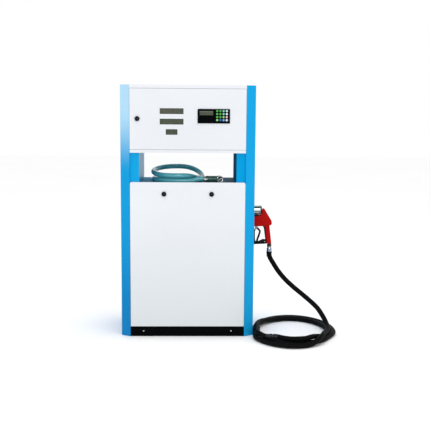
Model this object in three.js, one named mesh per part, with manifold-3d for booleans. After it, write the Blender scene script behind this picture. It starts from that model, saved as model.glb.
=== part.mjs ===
// A single-hose fuel dispenser: a free-standing sheet-metal cabinet with its pumping train inside,
// a counter head with displays and a keypad, a hand nozzle in a side socket, a delivery hose coiled
// on the floor and a suction hose coiled on the shelf.
//
// Millimetres, +Z up, the front faces -Y, +X is to the right of someone facing the front.
// The origin is on the floor, in the middle of the cabinet.

import * as THREE from 'three';
import { mergeVertices } from 'three/addons/utils/BufferGeometryUtils.js';
import Module from 'manifold-3d';

const wasm = await Module();
wasm.setup();

// ---- driving dimensions ----

const GAP = 0.3;                                  // between pieces that touch
const CAB = { height: 1500, halfX: 396, halfY: 210, sheet: 2 };
const POST = { width: 55, setback: 28, flange: 9.5 };   // bevelled corner of each side shell
const LINER = { halfX: 286, halfY: 200, flangeEnd: 352, bottom: 62, top: 1478 };
const PLINTH = { height: 60, halfX: 340, halfY: 206, wall: 3 };
const PANEL = { halfX: 339, bottom: 62, top: 933, rearTop: 920, depth: 9.5, corner: 10 };
const DECK = { top: 920, halfX: 285.5, halfY: 195, lip: 20 };
const HEAD = { halfX: 339.5, bottom: 1106, doorBottom: 1125.5, doorTop: 1478.5, capBottom: 1480 };

const WINDOWS = [                                 // counter displays: centre x, centre z, width, height
  { name: 'display_amount', x: -95, z: 1348.5, w: 138, h: 33 },
  { name: 'display_volume', x: -95, z: 1288, w: 138, h: 33 },
  { name: 'display_unit_price', x: -95, z: 1228, w: 68, h: 32 },
];
const KEYPAD = { x: 149.5, z: 1321, w: 189, h: 84, frame: 3, proud: 3.5 };
const KEYPAD_LCD = { x: 106.5, z: 1338.5, w: 79, h: 25 };
const KEYS = { x: [169.5, 188, 206.5, 225], z: [1351, 1333.5, 1316, 1298.5], r: 6.5, bore: 7 };
const LOCKS = [
  { name: 'head_lock', x: -295, z: 1304 },
  { name: 'panel_lock_left', x: -140, z: 864 },
  { name: 'panel_lock_right', x: 140, z: 864 },
];
const LOCK = { rim: 14, barrel: 11, proud: 3, depth: 26, cam: 34 };

const SOCKET = { z: 741, outer: 27.5, inner: 23, start: 330, end: 447, flange: 50 };
const PORT = { y: 140, z: 300, bore: 18 };        // where the outlet pipe leaves the right side
const FLAP = { x: 296, half: 14, ear: 3, pinZ: 782 };
const SPOUT = { tip: 300, end: 456, r: 12, wall: 1.5, adapter: 20, guard: 32, guardRise: 6 };
const NOZZLE = { half: 22, gripHalf: 17, inlet: 529, inletX: 506 };
const LEVER = { half: 9, pinX: 424, pinZ: 630, pin: 3 };
const HOSE = { r: 15, top: 470 };
const COIL = { x: 651.5, y: -148, inner: 195, outer: 255, stretch: 1.16 };
const COIL_TOP = { inner: 180, start: 534, back: -165 };   // the part turn that lies on the others
const HOSE_END = { x: 528, y: -357, length: 66, r: 17, turn: 16 };

const SUCTION = { x: -60, y: 0, r: 15, coil: 150, layers: 2 };
const SUCTION_END = { y: -150, z: 948, tail: 92, ring: 22 };

const MOTOR = { x: -150, z: 190, r: 80, front: -94, back: 140 };
const PUMP = { x: 110, z: 300, left: 20, right: 200, top: 380, halfY: 90 };
const BELT = { y: -120, half: 5.8, thickness: 8, motorR: 40, pumpR: 80 };
const METER = { x: 60, y: 30, z: 570, reach: 95, r: 38 };

// ---- helpers ----

const ROUND = 24;                                 // facets round an ordinary cylinder

function toSolid(geometry) {
  const bare = geometry.clone();
  bare.deleteAttribute('normal');
  bare.deleteAttribute('uv');
  const merged = mergeVertices(bare, 1e-4);
  return new wasm.Manifold(new wasm.Mesh({
    numProp: 3,
    vertProperties: new Float32Array(merged.attributes.position.array),
    triVerts: new Uint32Array(merged.index.array),
  }));
}

function toGeometry(solid) {
  const mesh = solid.getMesh();
  const geometry = new THREE.BufferGeometry();
  geometry.setAttribute('position', new THREE.BufferAttribute(new Float32Array(mesh.vertProperties), 3));
  geometry.setIndex(new THREE.BufferAttribute(new Uint32Array(mesh.triVerts), 1));
  geometry.computeVertexNormals();
  return geometry;
}

function join(...geometries) {
  return toGeometry(geometries.map(toSolid).reduce((sum, next) => sum.add(next)));
}

function cut(body, ...tools) {
  return toGeometry(tools.map(toSolid).reduce((rest, tool) => rest.subtract(tool), toSolid(body)));
}

function block(x0, x1, y0, y1, z0, z1) {
  const geometry = new THREE.BoxGeometry(x1 - x0, y1 - y0, z1 - z0);
  return geometry.translate((x0 + x1) / 2, (y0 + y1) / 2, (z0 + z1) / 2);
}

function outline(points, holes = []) {
  const shape = new THREE.Shape(points.map(([a, b]) => new THREE.Vector2(a, b)));
  shape.holes = holes.map((hole) => new THREE.Path(hole.map(([a, b]) => new THREE.Vector2(a, b))));
  return shape;
}

// Extrudes an outline drawn in X and Y upwards from z0 to z1.
function prismZ(shape, z0, z1) {
  const geometry = new THREE.ExtrudeGeometry(shape, { depth: z1 - z0, bevelEnabled: false });
  return geometry.translate(0, 0, z0);
}

// Extrudes an outline drawn in X and Z from y0 to y1.
function prismY(shape, y0, y1, bevel = 0) {
  const rim = { bevelSize: bevel, bevelOffset: -bevel, bevelThickness: bevel, bevelSegments: 2 };
  const options = { depth: y1 - y0 - 2 * bevel, bevelEnabled: bevel > 0, ...rim };
  const geometry = new THREE.ExtrudeGeometry(shape, options);
  return geometry.rotateX(Math.PI / 2).translate(0, y1 - bevel, 0);
}

// Cylinders along an axis, from a to b on that axis; the other two coordinates come in X, Y, Z order.
function rodX(a, b, y, z, r, sides = ROUND) {
  const geometry = new THREE.CylinderGeometry(r, r, b - a, sides);
  return geometry.rotateZ(Math.PI / 2).translate((a + b) / 2, y, z);
}

function rodY(a, b, x, z, r, sides = ROUND) {
  return new THREE.CylinderGeometry(r, r, b - a, sides).translate(x, (a + b) / 2, z);
}

function rodZ(a, b, x, y, r, sides = ROUND) {
  const geometry = new THREE.CylinderGeometry(r, r, b - a, sides);
  return geometry.rotateX(Math.PI / 2).translate(x, y, (a + b) / 2);
}

// Turned pieces: the profile is a list of [radius, place along the axis], rising on its outer side.
function turned(profile, sides = ROUND) {
  return new THREE.LatheGeometry(profile.map(([r, h]) => new THREE.Vector2(r, h)), sides);
}

const turnedX = (profile, y, z, sides) => turned(profile, sides).rotateZ(-Math.PI / 2).translate(0, y, z);
const turnedY = (profile, x, z, sides) => turned(profile, sides).translate(x, 0, z);
const turnedZ = (profile, x, y, sides) => turned(profile, sides).rotateX(Math.PI / 2).translate(x, y, 0);

// A round tube along a smooth path.
function tube(points, r, steps, sides = 10) {
  const path = new THREE.CatmullRomCurve3(points.map(([x, y, z]) => new THREE.Vector3(x, y, z)));
  const section = new THREE.Shape();
  for (let i = 0; i < sides; i += 1) {
    const angle = (2 * Math.PI * i) / sides;
    const corner = [r * Math.cos(angle), r * Math.sin(angle)];
    if (i === 0) section.moveTo(...corner);
    else section.lineTo(...corner);
  }
  return new THREE.ExtrudeGeometry(section, { steps, extrudePath: path, bevelEnabled: false });
}

const mirrorX = (points) => points.map(([x, y]) => [-x, y]).reverse();

const MATERIALS = {
  blue: { color: 0x17a2e0, roughness: 0.35, metalness: 0.1 },
  white: { color: 0xeef1f4, roughness: 0.4, metalness: 0.1 },
  black: { color: 0x101214, roughness: 0.5, metalness: 0.2 },
  slate: { color: 0x4a6e80, roughness: 0.5, metalness: 0.2 },
  display: { color: 0x60624f, roughness: 0.2, metalness: 0 },
  bezel: { color: 0x0d0f12, roughness: 0.45, metalness: 0 },
  key_green: { color: 0x2f8f4e, roughness: 0.5, metalness: 0 },
  key_blue: { color: 0x2f6fb0, roughness: 0.5, metalness: 0 },
  key_white: { color: 0xd8dde2, roughness: 0.5, metalness: 0 },
  chrome: { color: 0xc4c8cc, roughness: 0.15, metalness: 1 },
  steel: { color: 0x8d9296, roughness: 0.4, metalness: 1 },
  casting: { color: 0x5d6468, roughness: 0.6, metalness: 0.7 },
  motor_paint: { color: 0x2d4f6b, roughness: 0.5, metalness: 0.3 },
  brass: { color: 0xb08d45, roughness: 0.35, metalness: 1 },
  red: { color: 0xae1510, roughness: 0.4, metalness: 0 },
  lever_black: { color: 0x16181a, roughness: 0.5, metalness: 0 },
  rubber: { color: 0x141414, roughness: 0.75, metalness: 0 },
  clear_teal: { color: 0x3f8f93, roughness: 0.3, metalness: 0 },
  aluminium: { color: 0xb4b8bb, roughness: 0.35, metalness: 1 },
};

const dispenser = new THREE.Group();

function place(name, geometry, material) {
  const mesh = new THREE.Mesh(geometry, new THREE.MeshStandardMaterial(MATERIALS[material]));
  mesh.name = name;
  dispenser.add(mesh);
}

// ---- casing ----

// An open tray: four walls and a bottom pan that stands on the floor.
function baseFrame() {
  const { halfX, halfY, height, wall } = PLINTH;
  const hollow = block(-halfX + wall, halfX - wall, -halfY + wall, halfY - wall, wall, height + 1);
  return cut(block(-halfX, halfX, -halfY, halfY, 0, height), hollow);
}

// One folded sheet: side face, two bevelled posts, return flanges and a closed top.
function sideShell(side) {
  const { halfX, halfY, height, sheet } = CAB;
  const inner = halfX - POST.width;
  const shoulder = halfY - POST.setback;
  const skin = sheet * 1.13;                      // the sheet measured square to the bevelled face
  const hook = halfY - POST.flange;
  const outer = [[inner, -halfY], [halfX, -shoulder], [halfX, shoulder], [inner, halfY]];
  const path = [
    ...outer, [inner, hook], [inner + sheet, hook], [inner + sheet, halfY - sheet - skin],
    [halfX - sheet, shoulder - skin + 1], [halfX - sheet, -shoulder + skin - 1],
    [inner + sheet, -halfY + sheet + skin], [inner + sheet, -hook], [inner, -hook],
  ];
  const turn = (points) => (side > 0 ? points : mirrorX(points));
  const wall = prismZ(outline(turn(path)), 0, height - sheet / 2);
  const lid = prismZ(outline(turn(outer)), height - sheet, height);
  const shell = join(wall, lid);
  if (side < 0) return shell;
  const socketHole = rodX(halfX - 5, halfX + 5, 0, SOCKET.z, SOCKET.outer + GAP);
  return cut(shell, socketHole, rodX(halfX - 5, halfX + 5, PORT.y, PORT.z, PORT.bore));
}

// The channel behind each post: the wall of the shelf opening and the cabinet's upright.
function columnLiner(side) {
  const { halfX, halfY, flangeEnd, bottom, top } = LINER;
  const { sheet } = CAB;
  const path = [
    [halfX, -halfY], [flangeEnd, -halfY], [flangeEnd, -halfY + sheet], [halfX + sheet, -halfY + sheet],
    [halfX + sheet, halfY - sheet], [flangeEnd, halfY - sheet], [flangeEnd, halfY], [halfX, halfY],
  ];
  const channel = prismZ(outline(side > 0 ? path : mirrorX(path)), bottom, top);
  // The left channel is notched where the head lock's cam turns.
  const { x: lockX, z: lockZ } = LOCKS[0];
  const room = LOCK.cam + 8;
  const notch = block(lockX - room, lockX + room, -halfY - 1, -halfY + 24, lockZ - room, lockZ + room);
  if (side < 0) return cut(channel, notch);
  const wallX = halfX + sheet;
  const earZ = FLAP.pinZ;
  const ears = [-1, 1].map((s) => {
    const y = s * (FLAP.half + GAP + FLAP.ear / 2);
    return block(wallX - 1, FLAP.x + 7, y - FLAP.ear / 2, y + FLAP.ear / 2, earZ - 8, earZ + 8);
  });
  return cut(join(channel, ...ears), rodX(halfX - 5, wallX + 5, PORT.y, PORT.z, PORT.bore));
}

// Deck of the open shelf, with turned-down lips front and back.
function shelfDeck() {
  const { top, halfX, halfY, lip } = DECK;
  const { sheet } = CAB;
  const hollow = block(-halfX - 1, halfX + 1, -halfY + sheet, halfY - sheet, top - lip - 1, top - sheet);
  return cut(block(-halfX, halfX, -halfY, halfY, top - lip, top), hollow);
}

// Cap of the head: a shallow tray turned upside down between the two side shells.
function headTopCap() {
  const { sheet, halfY, height } = CAB;
  const halfX = CAB.halfX - POST.width - GAP * 2;
  const hollow = block(-halfX + sheet, halfX - sheet, -halfY + sheet, halfY - sheet,
    HEAD.capBottom - 1, height - sheet);
  return cut(block(-halfX, halfX, -halfY, halfY, HEAD.capBottom, height), hollow);
}

// Floor of the head: a plate between the channels with a band along its front and back.
function headFloorPan() {
  const { sheet, halfY } = CAB;
  const { bottom, halfX } = HEAD;
  const bandTop = HEAD.doorBottom - 1.5;
  const deep = halfY - LINER.halfY - 1;
  const parts = [block(-DECK.halfX, DECK.halfX, -halfY + 1, halfY - 1, bottom, bottom + sheet)];
  for (const s of [-1, 1]) {
    const near = s * halfY;
    const far = s * (halfY - deep);
    parts.push(block(-halfX, halfX, Math.min(near, far), Math.max(near, far), bottom, bottom + sheet));
    const back = s * (halfY - sheet);
    parts.push(block(-halfX, halfX, Math.min(near, back), Math.max(near, back), bottom, bandTop));
  }
  return join(...parts);
}

// A door or panel: a sheet folded back along its four edges. side -1 is the front, +1 the rear.
function pan(halfX, z0, z1, side, corner = 0) {
  const { halfY, sheet } = CAB;
  const { depth } = PANEL;
  const face = side * halfY;
  const back = side * (halfY - depth);
  const inside = side * (halfY - sheet);
  const beyond = side * (halfY - depth - 1);
  const shape = new THREE.Shape();
  shape.moveTo(-halfX, z0);
  shape.lineTo(halfX, z0);
  shape.lineTo(halfX, z1 - corner);
  if (corner) shape.absarc(halfX - corner, z1 - corner, corner, 0, Math.PI / 2, false);
  else shape.lineTo(halfX, z1);
  shape.lineTo(-halfX + corner, z1);
  if (corner) shape.absarc(-halfX + corner, z1 - corner, corner, Math.PI / 2, Math.PI, false);
  const body = prismY(new THREE.Shape(shape.getPoints(4)), Math.min(face, back), Math.max(face, back));
  const rim = sheet + corner * 0.3;               // keeps the hollow inside the rounded corners
  const hollow = block(-halfX + rim, halfX - rim, Math.min(inside, beyond), Math.max(inside, beyond),
    z0 + sheet, z1 - rim);
  return cut(body, hollow);
}

const frontHole = (x, z, r) => rodY(-CAB.halfY - 5, -CAB.halfY + PANEL.depth + 5, x, z, r);

function frontWindow(x, z, w, h) {
  return block(x - w / 2, x + w / 2, -CAB.halfY - 5, -CAB.halfY + 5, z - h / 2, z + h / 2);
}

function headDoor() {
  const blank = pan(HEAD.halfX, HEAD.doorBottom, HEAD.doorTop, -1);
  const inset = 2 * KEYPAD.frame - 2 * GAP;
  const openings = WINDOWS.map(({ x, z, w, h }) => frontWindow(x, z, w, h));
  openings.push(frontWindow(KEYPAD.x, KEYPAD.z, KEYPAD.w - inset, KEYPAD.h - inset));
  openings.push(frontHole(LOCKS[0].x, LOCKS[0].z, LOCK.barrel + GAP));
  return cut(blank, ...openings);
}

function lowerFrontPanel() {
  const holes = LOCKS.slice(1).map(({ x, z }) => frontHole(x, z, LOCK.barrel + GAP));
  return cut(pan(PANEL.halfX, PANEL.bottom, PANEL.top, -1, PANEL.corner), ...holes);
}

// A cam lock's turning plug: proud face, barrel and the cam bar behind the panel.
function lockPlug({ x, z }) {
  const face = -CAB.halfY;
  const back = face + LOCK.depth;
  return join(
    rodY(face - LOCK.proud, face - GAP, x, z, LOCK.rim),
    rodY(face - 1, back, x, z, LOCK.barrel),
    block(x - 7, x + 7, back - 3, back, z - 9, z + LOCK.cam),
  );
}

// ---- head ----

// A display module: a flat window just behind the door sheet.
function displayWindow({ x, z, w, h }) {
  const face = -CAB.halfY + CAB.sheet + GAP;
  return block(x - w / 2 - 3, x + w / 2 + 3, face, face + 10, z - h / 2 - 3, z + h / 2 + 3);
}

const rectangle = (x, z, w, h) => [
  [x - w / 2, z - h / 2], [x + w / 2, z - h / 2], [x + w / 2, z + h / 2], [x - w / 2, z + h / 2],
];

function circle(x, z, r, sides = 12) {
  return Array.from({ length: sides }, (_, i) => {
    const angle = (2 * Math.PI * (i + 0.5)) / sides;
    return [x + r * Math.cos(angle), z + r * Math.sin(angle)];
  });
}

// Keypad housing: a proud front plate and the plug that fills the door's opening, bored for the keys.
function keypadBezel() {
  const { x, z, w, h, frame, proud } = KEYPAD;
  const face = -CAB.halfY;
  const lcd = KEYPAD_LCD;
  const holes = KEYS.z.flatMap((keyZ) => KEYS.x.map((keyX) => circle(keyX, keyZ, KEYS.bore)));
  holes.push(rectangle(lcd.x, lcd.z, lcd.w, lcd.h));
  const plug = prismY(outline(rectangle(x, z, w - 2 * frame, h - 2 * frame), holes), face - proud, face + 8);
  const inner = rectangle(x, z, w - 2 * frame - 1, h - 2 * frame - 1);
  const rim = prismY(outline(rectangle(x, z, w, h), [inner]), face - proud - 0.5, face - GAP);
  return join(plug, rim);
}

function keypadLcd() {
  const { x, z, w, h } = KEYPAD_LCD;
  const face = -CAB.halfY - KEYPAD.proud + 1.2;
  return block(x - w / 2 + GAP, x + w / 2 - GAP, face, face + 8, z - h / 2 + GAP, z + h / 2 - GAP);
}

function keyCap(x, z) {
  const face = -CAB.halfY - KEYPAD.proud - 2;
  return rodY(face, face + 11, x, z, KEYS.r, 12);
}

// Computer box that stands on the floor of the head, a deep tray open towards the rear panel.
function controllerBox() {
  const floor = HEAD.bottom + CAB.sheet + GAP;
  const box = block(-110, 190, -40, 110, floor, floor + 250);
  const glands = [-60, 0, 60].map((x) => rodY(-55, -39, x + 40, floor + 40, 9, 12));
  return cut(join(box, ...glands), block(-107, 187, -37, 111, floor + 3, floor + 247));
}

// ---- pumping train ----

function motor() {
  const { x, z, r, front, back } = MOTOR;
  const pan0 = PLINTH.wall + GAP;
  const parts = [
    rodY(front, back, x, z, r - 8),
    block(x - 55, x + 55, front + 25, back - 35, pan0, z),
    block(x - 85, x + 85, front + 15, back - 25, pan0, pan0 + 10),
    block(x - 40, x + 40, front + 50, back - 60, z + r - 20, z + r + 40),
  ];
  const fins = 5;
  const pitch = (back - front - 40) / fins;
  for (let i = 0; i < fins; i += 1) {
    const y = front + 20 + i * pitch;
    parts.push(rodY(y, y + pitch / 2, x, z, r));
  }
  return join(...parts);
}

// Grooved pulley on its shaft end, turning about an axis along Y.
function pulley(x, z, r, shaftEnd) {
  const lip = r + 9;
  const near = BELT.y - BELT.half;
  const far = BELT.y + BELT.half;
  return turnedY([
    [0, near - 4], [lip, near - 4], [lip, near - 1], [r, near - GAP],
    [r, far + GAP], [lip, far + 1], [lip, far + 4], [16, far + 4], [16, shaftEnd], [0, shaftEnd],
  ], x, z);
}

// Open belt round the two pulleys: two arcs joined by the outer tangents.
function driveBelt() {
  const dx = PUMP.x - MOTOR.x;
  const dz = PUMP.z - MOTOR.z;
  const span = Math.hypot(dx, dz);
  const heading = Math.atan2(dz, dx);
  const loop = (extra) => {
    const rMotor = BELT.motorR + extra;
    const rPump = BELT.pumpR + extra;
    const lean = Math.acos((rMotor - rPump) / span);
    const points = [];
    const steps = 12;
    for (let i = 0; i <= steps; i += 1) {
      const a = heading + lean + ((2 * Math.PI - 2 * lean) * i) / steps;
      points.push([MOTOR.x + rMotor * Math.cos(a), MOTOR.z + rMotor * Math.sin(a)]);
    }
    for (let i = 0; i <= steps; i += 1) {
      const a = heading - lean + (2 * lean * i) / steps;
      points.push([PUMP.x + rPump * Math.cos(a), PUMP.z + rPump * Math.sin(a)]);
    }
    return points;
  };
  const clear = 2;                                // keeps the faceted belt off the faceted grooves
  const shape = outline(loop(clear + BELT.thickness), [loop(clear)]);
  return prismY(shape, BELT.y - BELT.half, BELT.y + BELT.half);
}

// Vane pump with its air separator tower, on a stand.
function pumpUnit() {
  const { x, z, left, right, top, halfY } = PUMP;
  const pan0 = PLINTH.wall + GAP;
  const wall = 22;
  const casing = cut(
    block(left, right, -halfY, halfY, 150, top),
    block(left + wall, right - wall, -halfY + wall, halfY - wall, 149, top - wall),
  );
  return join(
    casing,
    block(left + 10, left + 40, -halfY + 10, halfY - 10, pan0, 160),
    block(right - 40, right - 10, -halfY + 10, halfY - 10, pan0, 160),
    rodY(-halfY - 6, -halfY + 5, x, z, 34),
    rodZ(top - 5, top + 50, 155, 20, 38),
  );
}

function riserPipe() {
  const { x, y, z, r } = METER;
  const low = PUMP.top + GAP;
  const high = z - r - 12 - GAP;
  const profile = [[14, low], [30, low], [30, low + 10], [20, low + 10], [20, high - 10],
    [30, high - 10], [30, high], [14, high], [14, low]];
  return turnedZ(profile, x, y, 16);
}

// Four-piston meter: two crossed cylinders and a centre casting.
function flowMeter() {
  const { x, y, z, reach, r } = METER;
  return join(
    rodX(x - reach, x + reach, y, z, r),
    rodY(y - reach, y + reach, x, z, r),
    rodZ(z - r - 12, z + r + 8, x, y, 45),
  );
}

function pulser() {
  const { x, y, z, r } = METER;
  const low = z + r + 8 + GAP;
  return join(rodZ(low, low + 45, x, y, 34), block(x - 20, x + 20, y + 20, y + 48, low, low + 32));
}

function solenoidValve() {
  const { x, y, z, reach } = METER;
  const start = x + reach + GAP;
  return join(
    block(start, start + 60, y - 28, y + 28, z - 28, z + 28),
    rodZ(z + 20, z + 90, start + 30, y, 22),
    rodZ(z - 45, z - 20, start + 30, y, 20),
  );
}

// From the valve down and out through the right side, where the delivery hose screws on.
function outletPipe() {
  const { x, y, z, reach } = METER;
  const start = x + reach + GAP + 30;
  const top = z - 45 - GAP;
  return tube([
    [start, y, top], [start, y, top - 20], [start + 15, y + 20, top - 46],
    [start + 45, y + 60, top - 86],
    [start + 55, PORT.y - 10, top - 126], [start + 58, PORT.y, PORT.z + 40], [start + 76, PORT.y, PORT.z + 6],
    [LINER.halfX, PORT.y, PORT.z], [CAB.halfX, PORT.y, PORT.z], [CAB.halfX + 14, PORT.y, PORT.z],
  ], 14, 26, 12);
}

// ---- nozzle side ----

function nozzleSocket() {
  const { outer, inner, start, end, flange, z } = SOCKET;
  const wall = CAB.halfX + GAP;
  return turnedX([
    [inner, start], [inner, end], [outer, end], [outer, wall + 3], [flange, wall + 3],
    [flange, wall], [outer - GAP, wall], [outer - GAP, start], [inner, start],
  ].reverse(), 0, z);
}

// Plate that the spout's tip pushes aside, hung on a pin at its top.
function nozzleSwitchFlap() {
  const { x, half, pinZ } = FLAP;
  return join(
    block(x - 1, x + 1, -half, half, SOCKET.z - 26, pinZ),
    rodY(-half, half, x, pinZ, 4, 16),
  );
}

function nozzleSpout() {
  const { tip, end, r, wall, adapter, guard, guardRise } = SPOUT;
  const tubePart = turnedX([
    [r - wall, tip], [r - wall, end], [adapter, end], [adapter, end - 28], [r + 2, end - 34],
    [r, end - 40], [r, tip], [r - wall, tip],
  ].reverse(), 0, SOCKET.z);
  const splashGuard = cut(
    rodX(SOCKET.end + 1.5, SOCKET.end + 6, 0, SOCKET.z + guardRise, guard),
    rodX(SOCKET.end, SOCKET.end + 8, 0, SOCKET.z, adapter - 1),
  );
  return join(tubePart, splashGuard);
}

// Valve body, red cover and hand grip in one outline each, with lugs that carry the lever's pin.
function nozzleBody() {
  const { half, gripHalf, inlet, inletX } = NOZZLE;
  const body = prismY(outline([
    [402, 640], [475, 640], [504, 640], [518, 657], [518, 665], [485, 728], [470, 750],
    [456.5, 742], [456.5, 712], [444, 708], [402, 696],
  ]), -half, half, 4);
  const grip = prismY(outline([
    [inletX - 17, inlet], [inletX + 15, inlet], [512, 600], [504, 660], [472, 660], [478, 610],
  ]), -gripHalf, gripHalf, 5);
  const lugs = [-1, 1].map((s) => {
    const y = s * (LEVER.half + GAP + 2);
    return block(LEVER.pinX - 7, LEVER.pinX + 7, y - 2, y + 2, LEVER.pinZ - 6, 646);
  });
  const pin = rodY(-LEVER.half - 3, LEVER.half + 3, LEVER.pinX, LEVER.pinZ, LEVER.pin, 12);
  return join(body, grip, ...lugs, pin);
}

// The trigger: a cranked bar that hangs on the pin and is squeezed towards the grip.
function nozzleLever() {
  const { half, pinX, pinZ, pin } = LEVER;
  const bar = prismY(outline([
    [417, 637], [430, 637], [452, 613], [453, 603], [433, 558], [427, 550], [418, 550], [422, 560],
    [439, 603], [438, 608], [417, 626],
  ]), -half, half, 1);
  return cut(bar, rodY(-half - 2, half + 2, pinX, pinZ, pin + GAP, 12));
}

function nozzleGuard() {
  const top = 640 - GAP;
  const upright = block(403, 409, -8, 8, 540, top);
  const foot = prismY(outline([[400, 527], [484.5, 541], [482.5, 556], [400, 543]]), -8, 8, 1);
  return join(upright, foot);
}

// Swivel nut and the crimped ferrule that grips the hose.
function nozzleSwivel() {
  const { inlet, inletX } = NOZZLE;
  const top = inlet - GAP;
  const low = HOSE.top + GAP;
  const profile = [
    [9, low], [15.5, low], [16, low + 6], [15, low + 24], [17.5, low + 26], [17.5, top - 10],
    [14, top - 7], [14, top], [9, top], [9, low],
  ];
  return turnedZ(profile, inletX, 0);
}

const HOSE_DROP = [
  [506, 0, 470], [506, 0, 459], [514, -1, 437], [532, -3, 407], [564, -7, 356], [606, -12, 306],
  [657, -20, 259], [706, -32, 220], [755, -46, 181], [804, -64, 137], [829, -86, 103], [844, -108, 78],
];

// The coiled part of the delivery hose: a flat ring a little longer front to back than across,
// with the last part turn on top of it along the front.
function hoseCoil() {
  const { inner, outer, x, y, stretch } = COIL;
  const across = 2 * HOSE.r + GAP;
  const edge = 7;
  const ring = (r0, r1, z0, z1) => turned([
    [r0 + edge, z0], [r1 - edge, z0], [r1, z0 + edge], [r1, z1 - edge],
    [r1 - edge, z1], [r0 + edge, z1], [r0, z1 - edge], [r0, z0 + edge], [r0 + edge, z0],
  ], 40).rotateX(Math.PI / 2).scale(1, stretch, 1).translate(x, y, 0);
  const last = toSolid(ring(COIL_TOP.inner, outer, across - 1, 2 * across));
  const front = toSolid(block(COIL_TOP.start, x + outer + 1, y - 2 * outer, COIL_TOP.back, 0, 3 * across));
  return toGeometry(toSolid(ring(inner, outer, 0, across)).add(last.intersect(front)));
}

// Crimped tail piece of the hose, lying on the coil.
function hoseEndFitting() {
  const { x, y, length, r, turn } = HOSE_END;
  const z = 2 * HOSE.r + 2 * GAP + r;
  const geometry = turnedX([
    [8, -length], [14, -length], [14, -length + 18], [r, -length + 20], [r, -length + 40],
    [14.5, -length + 42], [15.5, 0], [8, 0], [8, -length],
  ], 0, 0, 16);
  return geometry.rotateZ(THREE.MathUtils.degToRad(-turn)).translate(x, y, z);
}

// ---- shelf ----

function suctionCoil() {
  const { x, y, r, coil, layers } = SUCTION;
  const low = DECK.top + GAP;
  const high = low + layers * 2 * r;
  const profile = [
    [coil - r + 6, low], [coil + r - 6, low], [coil + r, low + 8], [coil + r, high - 8],
    [coil + r - 6, high], [coil - r + 6, high], [coil - r, high - 8], [coil - r, low + 8],
    [coil - r + 6, low],
  ];
  return turnedZ(profile, x, y, 32);
}

const SUCTION_TAIL = [[38, -150, 940], [54, -150, 944], [74, -150, 948], [91.7, -150, 948]];

// Barb with its clamp, hexagon, rubber elbow stub and open coupling ring.
function suctionFitting() {
  const { y, z, tail, ring } = SUCTION_END;
  return turnedX([
    [9, tail], [17, tail], [17, tail + 10], [13, tail + 11], [13, tail + 20], [17, tail + 21],
    [17, tail + 32], [19, tail + 34], [19, tail + 78], [ring, tail + 80], [ring, tail + 116],
    [ring - 4, tail + 116], [ring - 4, tail + 84], [9, tail + 84], [9, tail],
  ], y, z, 20);
}

// ---- assembly ----

place('base_frame', baseFrame(), 'black');
place('side_shell_left', sideShell(-1), 'blue');
place('side_shell_right', sideShell(1), 'blue');
place('column_liner_left', columnLiner(-1), 'blue');
place('column_liner_right', columnLiner(1), 'blue');
place('shelf_deck', shelfDeck(), 'slate');
place('head_top_cap', headTopCap(), 'white');
place('head_floor_pan', headFloorPan(), 'white');
place('head_rear_panel', pan(HEAD.halfX, HEAD.doorBottom, HEAD.doorTop, 1), 'white');
place('lower_front_panel', lowerFrontPanel(), 'white');
place('lower_rear_panel', pan(PANEL.halfX, PANEL.bottom, PANEL.rearTop, 1, PANEL.corner), 'white');
for (const lock of LOCKS) place(lock.name, lockPlug(lock), 'chrome');

place('head_door', headDoor(), 'white');
for (const win of WINDOWS) place(win.name, displayWindow(win), 'display');
place('keypad_bezel', keypadBezel(), 'bezel');
place('keypad_display', keypadLcd(), 'display');
KEYS.z.forEach((z, row) => {
  KEYS.x.forEach((x, column) => {
    const colour = ['key_green', 'key_green', 'key_blue', 'key_white'][column];
    place(`key_${row + 1}_${column + 1}`, keyCap(x, z), colour);
  });
});
place('controller_box', controllerBox(), 'steel');

place('motor', motor(), 'motor_paint');
place('motor_pulley', pulley(MOTOR.x, MOTOR.z, BELT.motorR, MOTOR.front - GAP), 'casting');
place('drive_belt', driveBelt(), 'rubber');
place('pump_pulley', pulley(PUMP.x, PUMP.z, BELT.pumpR, -PUMP.halfY - 6 - GAP), 'casting');
place('pump_unit', pumpUnit(), 'casting');
place('riser_pipe', riserPipe(), 'steel');
place('flow_meter', flowMeter(), 'aluminium');
place('pulser', pulser(), 'black');
place('solenoid_valve', solenoidValve(), 'brass');
place('outlet_pipe', outletPipe(), 'steel');

place('nozzle_socket', nozzleSocket(), 'chrome');
place('nozzle_switch_flap', nozzleSwitchFlap(), 'steel');
place('nozzle_body', nozzleBody(), 'red');
place('nozzle_spout', nozzleSpout(), 'aluminium');
place('nozzle_lever', nozzleLever(), 'lever_black');
place('nozzle_guard', nozzleGuard(), 'lever_black');
place('nozzle_swivel', nozzleSwivel(), 'chrome');
place('delivery_hose_drop', tube(HOSE_DROP, HOSE.r, 24, 10), 'rubber');
place('delivery_hose_coil', hoseCoil(), 'rubber');
place('hose_end_fitting', hoseEndFitting(), 'steel');

place('suction_hose_coil', suctionCoil(), 'clear_teal');
place('suction_hose_tail', tube(SUCTION_TAIL, SUCTION.r, 3, 12), 'clear_teal');
place('suction_fitting', suctionFitting(), 'brass');

export default dispenser;
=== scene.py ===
"""A single-hose fuel dispenser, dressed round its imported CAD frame.

Metres, +Z up, the front faces -Y.
"""
import math

import bmesh
import bpy
from mathutils import Matrix, Vector


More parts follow.
